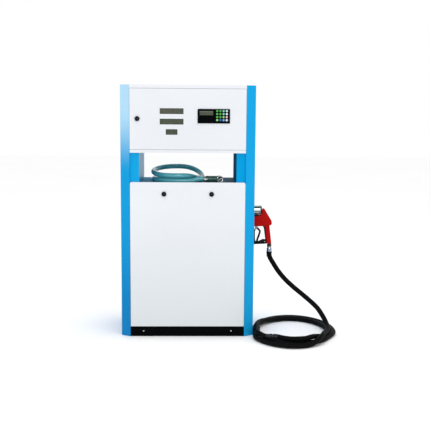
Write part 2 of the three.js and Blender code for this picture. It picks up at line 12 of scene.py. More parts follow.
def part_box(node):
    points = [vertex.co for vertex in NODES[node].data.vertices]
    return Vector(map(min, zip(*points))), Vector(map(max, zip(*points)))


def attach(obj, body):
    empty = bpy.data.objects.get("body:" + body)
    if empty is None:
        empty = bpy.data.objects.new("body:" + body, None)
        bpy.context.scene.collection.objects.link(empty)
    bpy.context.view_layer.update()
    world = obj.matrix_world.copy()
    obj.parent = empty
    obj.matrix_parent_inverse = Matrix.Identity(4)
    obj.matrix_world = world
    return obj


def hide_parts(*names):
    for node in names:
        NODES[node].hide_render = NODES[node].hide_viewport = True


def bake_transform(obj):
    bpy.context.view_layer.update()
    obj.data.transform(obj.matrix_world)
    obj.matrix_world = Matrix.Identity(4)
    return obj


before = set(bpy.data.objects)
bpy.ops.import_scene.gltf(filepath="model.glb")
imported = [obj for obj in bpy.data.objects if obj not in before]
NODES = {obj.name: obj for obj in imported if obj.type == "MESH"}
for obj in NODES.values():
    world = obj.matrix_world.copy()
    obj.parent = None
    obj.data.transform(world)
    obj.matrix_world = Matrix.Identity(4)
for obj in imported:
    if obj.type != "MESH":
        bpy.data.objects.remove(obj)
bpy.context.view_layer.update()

MM = 0.001

# ---- driving dimensions, in millimetres ----

FRONT = -210                 # plane of the doors and panels
DELIVERY = dict(radius=15, length=4.2)
SUCTION = dict(radius=15, length=1.9, x=-60, coil=150, floor=920.3, fitting=948)
COIL = dict(x=651.5, y=-140, stretch=1.12, middle=225, apart=30.2, front_shift=-32, front_stretch=0.08)
OUTLET_Z = 300                    # centres that the boxes of the nodes do not give
MOTOR_Z = 190
PUMP_Z = 300
SEPARATOR = (155, 20)
SOCKET = dict(z=741, outer=27.5, inner=23, start=330, end=447, wall=396.3)
SPOUT = dict(tip=300, end=456, r=12)
GRIP = dict(x=506, z=528.7, hose=470.3)      # swivel joint under the grip, and where the hose starts
LEVER_PIN = (424, 630)
LOCKS = {"head_lock": (-295, 1304), "panel_lock_left": (-140, 864), "panel_lock_right": (140, 864)}
LOCK = dict(rim=14, proud=3)
DISPLAYS = {"display_amount": (-95, 1348.5, 138, 33, 6), "display_volume": (-95, 1288, 138, 33, 6),
            "display_unit_price": (-95, 1228, 68, 32, 4)}       # centre, size, digits
KEYPAD = (149.5, 1321, 189, 84)                     # centre and size
KEYPAD_PROUD = 3.5
KEYPAD_LCD = (106.5, 1338.5, 79, 25)
KEY = dict(r=6.5, bore=7)
KEY_X = (169.5, 188, 206.5, 225)
KEY_Z = (1351, 1333.5, 1316, 1298.5)


# ---- mesh helpers ----

def added(name, data, material=None):
    """A new object in the scene."""
    obj = bpy.data.objects.new(name, data)
    bpy.context.collection.objects.link(obj)
    if material:
        data.materials.append(material)
    return obj


def piece(name, mesh, material, body, replaces=()):
    """A finished object from a mesh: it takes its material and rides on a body."""
    obj = added(name, mesh, material)
    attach(obj, body)
    if replaces:
        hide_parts(*replaces)
    return obj


def mesh_from(name, verts, faces, smooth=True):
    mesh = bpy.data.meshes.new(name)
    mesh.from_pydata([tuple(v) for v in verts], [], faces)
    mesh.validate()
    bm = bmesh.new()
    bm.from_mesh(mesh)
    bmesh.ops.recalc_face_normals(bm, faces=bm.faces)
    bmesh.ops.triangulate(bm, faces=[f for f in bm.faces if len(f.verts) > 4])
    bm.to_mesh(mesh)
    bm.free()
    if smooth:
        mesh.shade_smooth()
    return mesh


def joined(name, meshes):
    """One mesh out of several closed ones."""
    bm = bmesh.new()
    for mesh in meshes:
        bm.from_mesh(mesh)
    out = bpy.data.meshes.new(name)
    bm.to_mesh(out)
    bm.free()
    out.shade_smooth()
    return out


def soften(obj, width, segments=2, angle=35):
    """Rounds an object's sharp edges, as folded sheet, castings and mouldings have them."""
    bevel = obj.modifiers.new("soften", "BEVEL")
    bevel.width = width * MM
    bevel.segments = segments
    bevel.limit_method = "ANGLE"
    bevel.angle_limit = math.radians(angle)
    bevel.harden_normals = True
    return obj


def block(x0, x1, y0, y1, z0, z1):
    """A box from its limits in millimetres."""
    corners = [Vector((x, y, z)) * MM for x in (x0, x1) for y in (y0, y1) for z in (z0, z1)]
    faces = [(0, 1, 3, 2), (4, 6, 7, 5), (0, 4, 5, 1), (2, 3, 7, 6), (0, 2, 6, 4), (1, 5, 7, 3)]
    return mesh_from("block", corners, faces, smooth=False)


def arc(x, z, radius, start, end, steps=6):
    """Points of an arc, angles in degrees."""
    turns = [math.radians(start + (end - start) * i / steps) for i in range(steps + 1)]
    return [(x + radius * math.cos(a), z + radius * math.sin(a)) for a in turns]


def rounded(x0, x1, z0, z1, radius, steps=4):
    """Outline of a rectangle with round corners."""
    left, right, low, high = x0 + radius, x1 - radius, z0 + radius, z1 - radius
    centres = [(right, low), (right, high), (left, high), (left, low)]
    return [point for i, (x, z) in enumerate(centres)
            for point in arc(x, z, radius, 90 * i - 90, 90 * i, steps)]


def filleted(corners, steps=5):
    """Outline of (x, z, radius) corners with each corner rounded."""
    out = []
    for i, (x, z, radius) in enumerate(corners):
        here = Vector((x, z))
        before = Vector(corners[i - 1][:2]) - here
        after = Vector(corners[(i + 1) % len(corners)][:2]) - here
        if radius <= 0:
            out.append((x, z))
            continue
        reach = min(radius / math.tan(before.angle(after) / 2), before.length * 0.48, after.length * 0.48)
        start, end = here + before.normalized() * reach, here + after.normalized() * reach
        for k in range(steps + 1):
            t = k / steps
            point = start * (1 - t) ** 2 + here * 2 * t * (1 - t) + end * t * t
            if not out or math.dist(out[-1], point) > 0.3:
                out.append((point.x, point.y))
    return out


def inward(points):
    """For each point of an outline, the step that moves both its sides in by 1."""
    pts = [Vector(p) for p in points]
    ring = list(zip(pts, pts[1:] + pts[:1]))
    sign = 1 if sum(a.x * b.y - b.x * a.y for a, b in ring) > 0 else -1
    out = []
    for i, point in enumerate(pts):
        before = (point - pts[i - 1]).normalized()
        after = (pts[(i + 1) % len(pts)] - point).normalized()
        mean = (before + after).normalized()
        out.append(Vector((-mean.y, mean.x)) * sign / max(0.5, mean.dot(after)))
    return out


def between(low, high):
    """Faces between two rings of vertex numbers; a ring of one number is a tip on the axis."""
    count = max(len(low), len(high))
    faces = []
    for i in range(count if count > 1 else 0):
        j = (i + 1) % count
        if len(low) == 1:
            faces.append((low[0], high[j], high[i]))
        elif len(high) == 1:
            faces.append((low[i], low[j], high[0]))
        else:
            faces.append((low[i], low[j], high[j], high[i]))
    return faces


def lofted(rows):
    """Vertices and faces of a solid through rows of points, with a flat cap at each end."""
    count = len(rows[0])
    rings = [range(i * count, (i + 1) * count) for i in range(len(rows))]
    faces = [tuple(reversed(rings[0])), tuple(rings[-1])]
    for low, high in zip(rings, rings[1:]):
        faces += between(low, high)
    return [point for row in rows for point in row], faces


def cushion(points, y0, y1, edge, steps=4):
    """An outline of (x, z) points extruded from y0 to y1, both rims rounded to the radius edge."""
    turns = [math.pi / 2 * k / steps for k in range(steps + 1)]
    levels = [(edge * (1 - math.sin(a)), y0 + edge * (1 - math.cos(a))) for a in turns]
    levels += [(inset, y0 + y1 - y) for inset, y in reversed(levels)]
    moves = inward(points)
    rows = [[Vector((x + move.x * inset, y, z + move.y * inset)) * MM
             for (x, z), move in zip(points, moves)] for inset, y in levels]
    return mesh_from("cushion", *lofted(rows))


def framed(outer, inner, y0, y1):
    """A flat frame between two outlines with the same number of points, from y0 to y1."""
    count = len(outer)
    verts = [Vector((x, y, z)) * MM for y in (y0, y1) for ring in (outer, inner) for x, z in ring]
    rings = [range(i * count, (i + 1) * count) for i in (0, 1, 3, 2, 0)]
    faces = [face for low, high in zip(rings, rings[1:]) for face in between(low, high)]
    return mesh_from("framed", verts, faces, smooth=False)


def turned(profile, origin, axis="Z", steps=32):
    """A turned piece: profile is (radius, place along the axis) in millimetres, on the axis at its
    ends or closed on itself; origin is a point on the axis."""
    closed = profile[0] == profile[-1]
    verts, rings = [], []
    for radius, along in profile[:-1] if closed else profile:
        count = steps if radius > 1e-6 else 1
        rings.append(range(len(verts), len(verts) + count))
        for i in range(count):
            a = 2 * math.pi * i / steps
            verts.append(Vector((radius * math.cos(a), radius * math.sin(a), along)))
    if closed:
        rings.append(rings[0])
    faces = [face for low, high in zip(rings, rings[1:]) for face in between(low, high)]
    turn = {"Z": Matrix.Identity(3), "X": Matrix.Rotation(math.pi / 2, 3, "Y"),
            "Y": Matrix.Rotation(-math.pi / 2, 3, "X")}[axis]
    verts = [(turn @ v + Vector(origin)) * MM for v in verts]
    return mesh_from("turned", verts, faces)


def band(inner, outer, low, high):
    """Closed profile of a plain ring, for turned."""
    return [(inner, low), (outer, low), (outer, high), (inner, high), (inner, low)]


def smooth_path(points, step):
    """Catmull-Rom curve through the points, resampled about every step (both in millimetres)."""
    pts = [Vector(p) for p in points]
    pts = [2 * pts[0] - pts[1]] + pts + [2 * pts[-1] - pts[-2]]
    out = []
    for a, b, c, d in zip(pts, pts[1:], pts[2:], pts[3:]):
        count = max(1, round((c - b).length / step))
        for i in range(count):
            t = i / count
            out.append(0.5 * (2 * b + (c - a) * t + (2 * a - 5 * b + 4 * c - d) * t * t
                              + (3 * b - a - 3 * c + d) * t ** 3))
    out.append(pts[-2])
    return out


def tube(name, path, radius, sides=20):
    """A round tube along a path, with a UV map: U runs along it in metres, V round it."""
    ends = [path[0]] + path + [path[-1]]
    tangents = [(after - before).normalized() for before, after in zip(ends, ends[2:])]
    normal = tangents[0].orthogonal().normalized()
    rows, along, travelled = [], [], 0.0
    for i, (point, tangent) in enumerate(zip(path, tangents)):
        normal = (normal - tangent * normal.dot(tangent)).normalized()
        side = tangent.cross(normal)
        if i:
            travelled += (point - path[i - 1]).length
        along.append(travelled * MM)
        turns = [2 * math.pi * k / sides for k in range(sides)]
        rows.append([(point + radius * (math.cos(a) * normal + math.sin(a) * side)) * MM for a in turns])
    verts, faces = lofted(rows)
    mesh = bpy.data.meshes.new(name)
    mesh.from_pydata([tuple(v) for v in verts], [], faces)
    uv = mesh.uv_layers.new(name="along")
    for face in mesh.polygons:
        ring = [v % sides for v in face.vertices]
        wraps = max(ring) - min(ring) == sides - 1 and len(ring) == 4
        for loop, vertex in zip(face.loop_indices, face.vertices):
            k = vertex % sides
            v = 1.0 if wraps and k == 0 else k / sides
            uv.data[loop].uv = (along[vertex // sides], v)
    mesh.shade_smooth()
    return mesh


# ---- materials ----

def linear(red, green, blue):
    """An sRGB colour, 0 to 255, as linear values."""
    def channel(value):
        value /= 255
        return value / 12.92 if value <= 0.04045 else ((value + 0.055) / 1.055) ** 2.4
    return tuple(channel(v) for v in (red, green, blue))


def varied(colour, share):
    return tuple(min(1.0, c * (1 + share)) for c in colour)


class Shader:
    """A material being built: its methods add textures and give their outputs, and plug() links an
    output to the shader. sheen is how strongly it reflects; fixed sets its other sockets."""

    def __init__(self, name, sheen=0.5, **fixed):
        self.material = bpy.data.materials.new(name)
        self.material.use_nodes = True
        self.nodes, self.links = self.material.node_tree.nodes, self.material.node_tree.links
        self.bsdf = self.nodes["Principled BSDF"]
        self.bsdf.inputs["Specular IOR Level"].default_value = sheen
        for socket, value in fixed.items():
            self.bsdf.inputs[socket.replace("_", " ")].default_value = value

    def node(self, kind, settings=None, **inputs):
        """A node with its settings made, its inputs linked to outputs or set to values."""
        node = self.nodes.new("ShaderNode" + kind)
        for name, value in (settings or {}).items():
            setattr(node, name, value)
        for name, value in inputs.items():
            socket = node.inputs[name.replace("_", " ")]
            if isinstance(value, bpy.types.NodeSocket):
                self.links.new(value, socket)
            else:
                socket.default_value = value
        return node

    def plug(self, socket, output):
        self.links.new(output, self.bsdf.inputs[socket])

    def noise(self, scale, detail=3.0, stretch=(1, 1, 1)):
        """Noise over the object's own coordinates; stretch above 1 packs it tighter on that axis."""
        where = self.node("TexCoord").outputs["Object"]
        where = self.node("Mapping", Vector=where, Scale=stretch).outputs["Vector"]
        return self.node("TexNoise", Vector=where, Scale=scale, Detail=detail).outputs["Fac"]

    def wrap_lines(self, scale, distortion):
        """Lines across a hose, from its UV map."""
        where = self.node("TexCoord").outputs["UV"]
        return self.node("TexWave", Vector=where, Scale=scale, Distortion=distortion).outputs["Fac"]

    def ramp(self, source, low, high, start=0.3, end=0.7):
        """Colour that runs from low to high as source runs from start to end."""
        node = self.node("ValToRGB", Fac=source)
        for element, place, colour in zip(node.color_ramp.elements, (start, end), (low, high)):
            element.position = place
            element.color = (*colour, 1)
        return node.outputs["Color"]

    def spread(self, source, low, high):
        """Number that runs from low to high as source runs from 0.3 to 0.7."""
        node = self.node("MapRange", Value=source, From_Min=0.3, From_Max=0.7, To_Min=low, To_Max=high)
        return node.outputs["Result"]

    def blend(self, tone, target, source, start, end):
        """The colour tone, which turns into target as source runs from start to end."""
        share = self.node("MapRange", dict(interpolation_type="SMOOTHSTEP"),
                          Value=source, From_Min=start, From_Max=end).outputs["Result"]
        return self.node("Mix", dict(data_type="RGBA"),
                         Factor=share, A=tone, B=(*linear(*target), 1)).outputs["Result"]

    def surface(self, source, rgb, vary, rough, reach=(0.3, 0.7)):
        """Colour and roughness that follow source; vary gives the colour's change at either end."""
        low, high = [varied(linear(*rgb), share) for share in vary]
        self.plug("Base Color", self.ramp(source, low, high, *reach))
        self.plug("Roughness", self.spread(source, *rough))

    def bump(self, source, strength, distance):
        node = self.node("Bump", Height=source, Strength=strength, Distance=distance * MM)
        self.plug("Normal", node.outputs["Normal"])


def paint(name, rgb, rough, low=None, painted_glare=None, painted_wall_shading=None, painted_right_shade=None, **fixed):
    """Stoved enamel on sheet steel with orange peel. low, its tone at the foot, is a painted shade
    where light falls off towards the floor; its tone at the top is a painted highlight, a lamp's
    glare; its tone on faces turned to the sides is painted light and shade on the walls of a niche;
    its tone towards the right is a painted shade."""
    shader = Shader(name, **fixed)
    colour = linear(*rgb)
    tone = shader.ramp(shader.noise(2.3, 4), varied(colour, -0.03), varied(colour, 0.02))
    where = shader.node("TexCoord")
    place = shader.node("SeparateXYZ", Vector=where.outputs["Object"])
    # painted shade: the tone darkens towards the foot, where the light falls off
    if low:
        tone = shader.blend(tone, low, place.outputs["Z"], 0.85, 0.0)
    # painted highlight: the tone lightens towards the top, standing in for a lamp's glare
    if painted_glare:
        tone = shader.blend(tone, painted_glare, place.outputs["Z"], 0.98, 1.37)
    # painted shade: the tone darkens towards the right
    if painted_right_shade:
        tone = shader.blend(tone, painted_right_shade, place.outputs["X"], -0.25, 0.2)
    # painted light and shade: faces turned to the sides take the tone given for them
    if painted_wall_shading:
        facing = shader.node("SeparateXYZ", Vector=where.outputs["Normal"])
        sideways = shader.node("Math", dict(operation="ABSOLUTE"), Value=facing.outputs["X"])
        tone = shader.blend(tone, painted_wall_shading, sideways.outputs["Value"], 0.6, 0.95)
    shader.plug("Base Color", tone)
    shader.plug("Roughness", shader.spread(shader.noise(14, 5), *rough))
    shader.bump(shader.noise(420, 2), 0.1, 0.2)
    return shader.material


def plastic(name, rgb, rough, grain=900, depth=0.15, vary=0.06, **fixed):
    """Moulded plastic with a fine spark-eroded grain."""
    shader = Shader(name, **fixed)
    shader.surface(shader.noise(22, 4), rgb, (-vary, vary), rough)
    shader.bump(shader.noise(grain, 2), 0.25, depth)
    return shader.material


def metal(name, rgb, rough, stretch=(1, 1, 1), scale=60, depth=0.1, vary=0.06):
    """Bare metal: drawn or turned lines come from noise stretched across them."""
    shader = Shader(name, Metallic=1.0)
    lines = shader.noise(scale, 5, stretch)
    shader.surface(lines, rgb, (-vary, vary), rough)
    shader.bump(lines, 0.2, depth)
    return shader.material


def casting(name, rgb, metallic=0.6):
    """Sand casting under thin paint: coarse grain with darker pits."""
    shader = Shader(name, Metallic=metallic)
    grain = shader.noise(260, 6)
    shader.surface(grain, rgb, (-0.25, 0.12), (0.7, 0.5), (0.35, 0.6))
    shader.bump(grain, 0.5, 0.8)
    return shader.material


def hose_rubber(name, rgb, **fixed):
    """Hose cover with the fine cross lines that its curing wrap leaves, and dust that lightens it in
    patches.
    """
    shader = Shader(name, **fixed)
    shader.surface(shader.noise(9, 5), rgb, (-0.2, 0.5), (0.5, 0.66))
    shader.bump(shader.wrap_lines(220, 0.6), 0.25, 0.35)
    return shader.material


def clear_hose(name, rgb, core):
    """Tinted clear hose wall with a reinforcing spiral showing through it."""
    shader = Shader(name, Subsurface_Weight=0.2, Subsurface_Radius=(0.004, 0.01, 0.012),
                    Coat_Weight=0.25, Coat_Roughness=0.12)
    spiral = shader.wrap_lines(40, 0.3)
    shader.plug("Base Color", shader.ramp(spiral, linear(*rgb), linear(*core), 0.2, 0.95))
    shader.plug("Roughness", shader.spread(shader.noise(18, 3), 0.1, 0.2))
    shader.bump(spiral, 0.15, 0.3)
    return shader.material


# painted shade: the blue darkens towards the foot, where the light falls off
BLUE = paint("blue_enamel", (12, 162, 224), (0.22, 0.3), low=(20, 154, 212), sheen=0.09)
# A lit copy of the blue enamel for the left shell: painted glare towards the top and painted shade towards
# the foot.
GLARE_PAINTED_BLUE = paint("glare_painted_enamel", (10, 156, 218), (0.22, 0.3), low=(8, 124, 188),
                      painted_glare=(176, 218, 244), sheen=0.09)
# Lit and shaded copies of one liner enamel: the tones on their side walls are painted light on the left and
# painted shade on the right.
LIT_LINER = paint("lit_liner_enamel", (6, 164, 224), (0.3, 0.36), painted_wall_shading=(66, 166, 206), sheen=0.09)
SHADED_LINER = paint("shaded_liner_enamel", (12, 156, 218), (0.4, 0.5), painted_wall_shading=(44, 94, 122), sheen=0.0)
WHITE = paint("white_enamel", (229, 232, 237), (0.4, 0.5), sheen=0.15)
# painted shade: the panel white darkens towards the foot, where the light falls off
PANEL_WHITE = paint("panel_enamel", (230, 234, 239), (0.4, 0.5), low=(216, 221, 224), sheen=0.15)
BLACK = paint("black_enamel", (5, 6, 8), (0.5, 0.6), sheen=0.02)
# painted shade: the deck darkens towards the right
SLATE = paint("deck_enamel", (112, 176, 200), (0.5, 0.6), painted_right_shade=(72, 108, 130), sheen=0.01)
LCD = plastic("display_glass", (86, 88, 76), (0.25, 0.35), grain=300, depth=0.01, sheen=0.2)
LCD_GREEN = plastic("display_green", (74, 84, 68), (0.25, 0.35), grain=300, depth=0.01, sheen=0.2)
LCD_MARK = plastic("display_segments", (76, 79, 66), (0.3, 0.4), grain=300, depth=0.01, sheen=0.05)
LCD_RIM = plastic("display_gasket", (44, 46, 40), (0.5, 0.6), sheen=0.05)
BEZEL = plastic("bezel_plastic", (3, 5, 7), (0.5, 0.65), sheen=0.02)
KEY_COLOURS = {name: plastic("key_" + name, rgb, (0.35, 0.45), sheen=0.05) for name, rgb in {
    "green": (84, 176, 88), "leaf": (88, 168, 72), "mint": (128, 208, 182), "sky": (206, 228, 242),
    "lime": (146, 204, 130), "blue": (52, 110, 182), "azure": (116, 166, 216),
    "rose": (224, 176, 206), "white": (228, 229, 234),
}.items()}
KEY_ROWS = (("green", "leaf", "mint", "sky"), ("green", "leaf", "mint", "sky"),
            ("green", "leaf", "lime", "rose"), ("lime", "blue", "azure", "white"))
CHROME = metal("chrome", (196, 202, 200), (0.12, 0.18), scale=40, depth=0.01, vary=0.03)
GUNMETAL = metal("gunmetal", (56, 62, 66), (0.2, 0.3), depth=0.04)
FERRULE = metal("ferrule_steel", (150, 156, 166), (0.16, 0.24), scale=40, depth=0.01, vary=0.03)
STEEL = metal("zinc_steel", (138, 142, 146), (0.3, 0.45), stretch=(1, 1, 6))
BRASS = metal("brass", (196, 168, 112), (0.2, 0.35), depth=0.05)
ALUMINIUM = metal("cast_aluminium", (166, 170, 174), (0.35, 0.5), scale=240, depth=0.2)
IRON = casting("grey_iron", (84, 91, 96))
MOTOR_BLUE = casting("motor_paint", (44, 80, 108), metallic=0.2)
RED = plastic("nozzle_cover", (188, 10, 8), (0.4, 0.5), grain=700, depth=0.05, vary=0.04, sheen=0.06)
LEVER = plastic("lever_plastic", (10, 13, 18), (0.35, 0.45), sheen=0.15)
RUBBER = hose_rubber("hose_rubber", (6, 6, 7), sheen=0.07)
BELT = plastic("belt_rubber", (24, 24, 25), (0.6, 0.8), sheen=0.05)
TEAL = clear_hose("suction_hose_wall", (74, 164, 176), (84, 170, 180))
STUB_GREEN = plastic("coupler_rubber", (38, 78, 72), (0.2, 0.35), sheen=0.4)
CLEAR_RIM = metal("coupling_ring", (222, 224, 226), (0.1, 0.2), scale=40, depth=0.02, vary=0.04)
CARD = plastic("card", (14, 26, 22), (0.8, 0.9), sheen=0.05)
BOARD = plastic("circuit_board", (24, 84, 56), (0.4, 0.5), sheen=0.05)
LOCK_FACE = plastic("lock_face", (20, 21, 23), (0.25, 0.4), sheen=0.3)


# ---- camera, floor and lights ----

def set_camera():
    heading, tilt, roll = 0.0228, 0.1236, 0.0077           # radians: to the right, down, clockwise
    data = bpy.data.cameras.new("camera")
    camera = added("camera", data)
    data.sensor_width = 36
    data.lens = 59.56
    data.shift_y = -0.0577
    data.clip_end = 60
    camera.matrix_world = (Matrix.Translation((0.0653, -4.3605, 1.4041)) @ Matrix.Rotation(-heading, 4, "Z")
                           @ Matrix.Rotation(math.pi / 2 - tilt, 4, "X") @ Matrix.Rotation(roll, 4, "Z"))
    bpy.context.scene.camera = camera


def area_light(name, place, target, size, power, reflection_only=False):
    """A softbox; one that only shows in reflections leaves the even studio light as it is."""
    data = bpy.data.lights.new(name, "AREA")
    data.shape = "RECTANGLE"
    data.size, data.size_y = size
    data.energy = power
    light = added(name, data)
    light.location = place
    light.rotation_euler = (Vector(target) - Vector(place)).to_track_quat("-Z", "Y").to_euler()
    light.visible_diffuse = not reflection_only


def sheet(name, x0, x1, y0, y1, z, material):
    """A level rectangle of the studio."""
    corners = [(x0, y0, z), (x1, y0, z), (x1, y1, z), (x0, y1, z)]
    obj = added(name, mesh_from(name, corners, [(0, 1, 2, 3)], smooth=False), material)
    return obj


def reflection_card(name, *place):
    """A dark card that only polished surfaces see, as a studio hangs one to draw their shape."""
    card = sheet(name, *place, CARD)
    card.visible_camera = card.visible_diffuse = False
    card.visible_shadow = card.visible_transmission = False


def set_stage():
    """Pale floor just under the object, white surroundings, two cards and two softboxes."""
    shader = Shader("studio_floor", Roughness=0.9)
    cloud = shader.ramp(shader.noise(0.8, 2), (0.97, 0.97, 0.97), (0.985, 0.985, 0.985))
    shader.plug("Base Color", cloud)
    sheet("studio_floor", -14, 14, -14, 14, -0.0005, shader.material)
    world = bpy.data.worlds.new("studio")
    bpy.context.scene.world = world
    world.use_nodes = True
    world.node_tree.nodes["Background"].inputs["Color"].default_value = (1, 1, 1, 1)
    world.node_tree.nodes["Background"].inputs["Strength"].default_value = 1.0
    reflection_card("card_over", -2.0, 3.0, -5.6, 0.9, 3.2)
    reflection_card("card_low", -1.2, 1.6, -1.2, -0.5, 0.001)
    area_light("overhead", (0.3, -0.6, 4.6), (0.1, 0, 0), (2.6, 2.6), 55)
    area_light("front_strip", (0.4, -3.6, 2.7), (0.2, 0, 0.8), (2.4, 0.5), 55, reflection_only=True)
    bpy.context.scene.view_settings.view_transform = "Standard"


# ---- cords ----

DELIVERY_DROP = [
    (506, 0, 470), (506.4, 0, 459), (513.2, -1, 437), (531, -3, 407), (564, -7, 356), (606, -12, 306),
    (657, -20, 259), (706, -32, 220), (755, -46, 181), (804, -64, 137), (829, -86, 103), (844, -108, 78),
    (852, -136, 59), (856, -168, 48), (851, -202, 45),
]
DELIVERY_END = [
    (656, -392.5, 46.5), (620, -390, 44.5), (588, -382, 43.4), (556, -369, 44.4), (528.5, -357.2, 47.4),
]
HOSE_END_TURN = -16                 # heading of the hose's last stretch, in degrees


def ease(value, start, end):
    """0 before start, 1 after end, and a smooth step between them; start may be above end."""
    t = min(1.0, max(0.0, (value - start) / (end - start)))
    return t * t * (3 - 2 * t)


def lay_of_coil(degrees):
    """Radius and height of the hose in its coil. Each time it passes the front right it trades
    places with its neighbours: from the top to the outside, then to the inside, and at last up
    on top of the inside one."""
    floor_z, apart, inside = DELIVERY["radius"] + 0.3, COIL["apart"], COIL["middle"] - COIL["apart"] / 2
    if degrees < -720:
        swap = ease(degrees, -739, -797)
        lean = math.radians(180 - 98 * swap)
        return inside + apart * swap * math.cos(lean), floor_z + apart * math.sin(lean)
    passes = 0 if degrees > -200 else 1
    swap = ease(degrees + 360 * passes, -25, -70)
    around = math.radians(90 - 120 * (passes + swap))
    reach = apart / math.sqrt(3)
    lift = reach * (math.sin(math.radians(30 + 120 * swap)) - 0.5)
    radius = COIL["middle"] + reach * math.cos(around)
    height = floor_z + reach / 2 + lift + reach * math.sin(around)
    ride_up = math.radians(64) * ease(degrees, -450, -515) * (1 - ease(degrees, -540, -615))
    radius += apart * (1 - math.cos(ride_up))
    height += apart * math.sin(ride_up)
    return radius, height


def delivery_route():
    """Down from the nozzle, twice clockwise round the floor coil, and a last part turn on top of it."""
    route = list(DELIVERY_DROP)
    for degrees in range(-25, -796, -9):
        radius, height = lay_of_coil(degrees)
        cosine, sine = math.cos(math.radians(degrees)), math.sin(math.radians(degrees))
        stretch = COIL["stretch"] + COIL["front_stretch"] * ease(-sine, 0, 0.6)
        shift = COIL["front_shift"] * ease(-sine, 0.1, 0.55)
        middle, beside = COIL["middle"], radius - COIL["middle"]
        outward = Vector((stretch * cosine, sine)).normalized()
        route.append((COIL["x"] + shift + middle * cosine + beside * outward.x,
                      COIL["y"] + stretch * middle * sine + beside * outward.y, height))
    return smooth_path(route + DELIVERY_END, 12)


def suction_route():
    """From the fitting along the deck, clockwise round a lower turn, then a looser upper turn whose
    back stands up and whose end comes down to the deck."""
    low, exit_z = SUCTION["floor"] + SUCTION["radius"], SUCTION["fitting"]
    route = [(91.7, -150, exit_z), (74, -150, exit_z), (54, -150, exit_z - 4), (38, -150, exit_z - 8),
             (10, -150, low), (-28, -150, low)]
    for degrees in range(-96, -768, -12):
        radius = SUCTION["coil"] - 26 * ease(degrees, -262, -346) + 26 * ease(degrees, -372, -448)
        lift = (31 * ease(degrees, -360, -440) + 30 * ease(degrees, -480, -620)
                - 60 * ease(degrees, -636, -750))
        x = SUCTION["x"] - 5 * ease(degrees, -500, -560)
        angle = math.radians(degrees)
        route.append((x + radius * math.cos(angle), radius * math.sin(angle), low + lift))
    return smooth_path(route, 10)


def make_delivery_hose():
    path = delivery_route()
    hose = added("delivery_hose", tube("delivery_hose", path, DELIVERY["radius"], 24), RUBBER)
    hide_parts("delivery_hose_drop", "delivery_hose_coil")
    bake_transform(hose)
    end = make_hose_end()


def make_hose_end():
    """Crimped steel tail piece: ridged ferrule, neck, hexagon and thread."""
    profile = [(8, 0), (15.2, 0), (15.6, -1.5)]
    for ridge in range(4):
        start = -3 - ridge * 6
        profile += [(15.6, start), (15.6, start - 3), (13.6, start - 4), (13.6, start - 5)]
    profile += [(11.5, -28), (11.5, -32), (14.5, -33), (14.5, -44), (13, -45.5), (11.8, -46)]
    for thread in range(5):
        start = -47 - thread * 3.6
        profile += [(12.2, start), (11, start - 1.6), (12.2, start - 3)]
    profile += [(10.8, -66), (8, -66), (8, 0)]
    mesh = turned(profile[::-1], (0, 0, 0), "X", 28)
    mesh.transform(Matrix.Translation(Vector((528, -357, 47.4)) * MM)
                   @ Matrix.Rotation(math.radians(HOSE_END_TURN), 4, "Z"))
    return piece("hose_tail_piece", mesh, GUNMETAL, "cabinet", ["hose_end_fitting"])


def make_suction_hose():
    path = suction_route()
    mesh = tube("suction_hose", path, SUCTION["radius"], 24)
    hose = piece("suction_hose", mesh, TEAL, "cabinet",
                 ["suction_hose_coil", "suction_hose_tail"])


set_camera()
make_delivery_hose()
make_suction_hose()
set_stage()


# ---- casing: CAD nodes with their finishes ----

def limits(name):
    """Lowest and highest corner of a CAD node, in millimetres."""
    return [[v / MM for v in corner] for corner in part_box(name)]


def finish_node(name, material, width=0.0):
    """Gives a CAD node its finish, and rounds its edges."""
    node = NODES[name]
    for entry in node.material_slots:
        entry.material = material
    if width:
        soften(node, width)


def dress_casing():
    finish_node("base_frame", BLACK, 1.2)
    # the left shell takes the lit copy of the blue, with its painted glare and painted shade
    finish_node("side_shell_left", GLARE_PAINTED_BLUE, 0.9)
    finish_node("side_shell_right", BLUE, 0.9)
    # the liners take the lit copy on the left and the shaded copy on the right
    finish_node("column_liner_left", LIT_LINER, 0.7)
    finish_node("column_liner_right", SHADED_LINER, 0.7)
    finish_node("shelf_deck", SLATE, 0.9)
    for name in ("head_top_cap", "head_floor_pan", "head_rear_panel", "head_door"):
        finish_node(name, WHITE, 0.9)
    for name in ("lower_front_panel", "lower_rear_panel"):
        finish_node(name, PANEL_WHITE, 0.9)


dress_casing()


# ---- head: displays, keypad and door lock ----

def on_front(x, z, w, h, inset=0.0, radius=2.0):
    """Outline of a front opening from its centre and size, brought in by inset."""
    half_w, half_h = w / 2 - inset, h / 2 - inset
    return rounded(x - half_w, x + half_w, z - half_h, z + half_h, radius)


def segments(x, z, width, height, digits, face):
    """Unlit seven-segment digits: thin bars a little proud of the face."""
    pitch = width / digits
    wide, tall, bar = pitch * 0.52, height * 0.62, 2.2
    meshes = []
    for digit in range(digits):
        left = x - width / 2 + pitch * (digit + 0.5) - wide / 2
        low = z - tall / 2
        for level in range(3):
            base = low + (tall - bar) * level / 2
            meshes.append(block(left + 1.2, left + wide - 1.2, face - 0.15, face + 0.1, base, base + bar))
        for side in (left - bar / 2, left + wide - bar / 2):
            for start in (low + bar, low + tall / 2 + bar / 2):
                meshes.append(block(side, side + bar, face - 0.15, face + 0.1,
                                    start, start + tall / 2 - bar * 1.5))
    return meshes


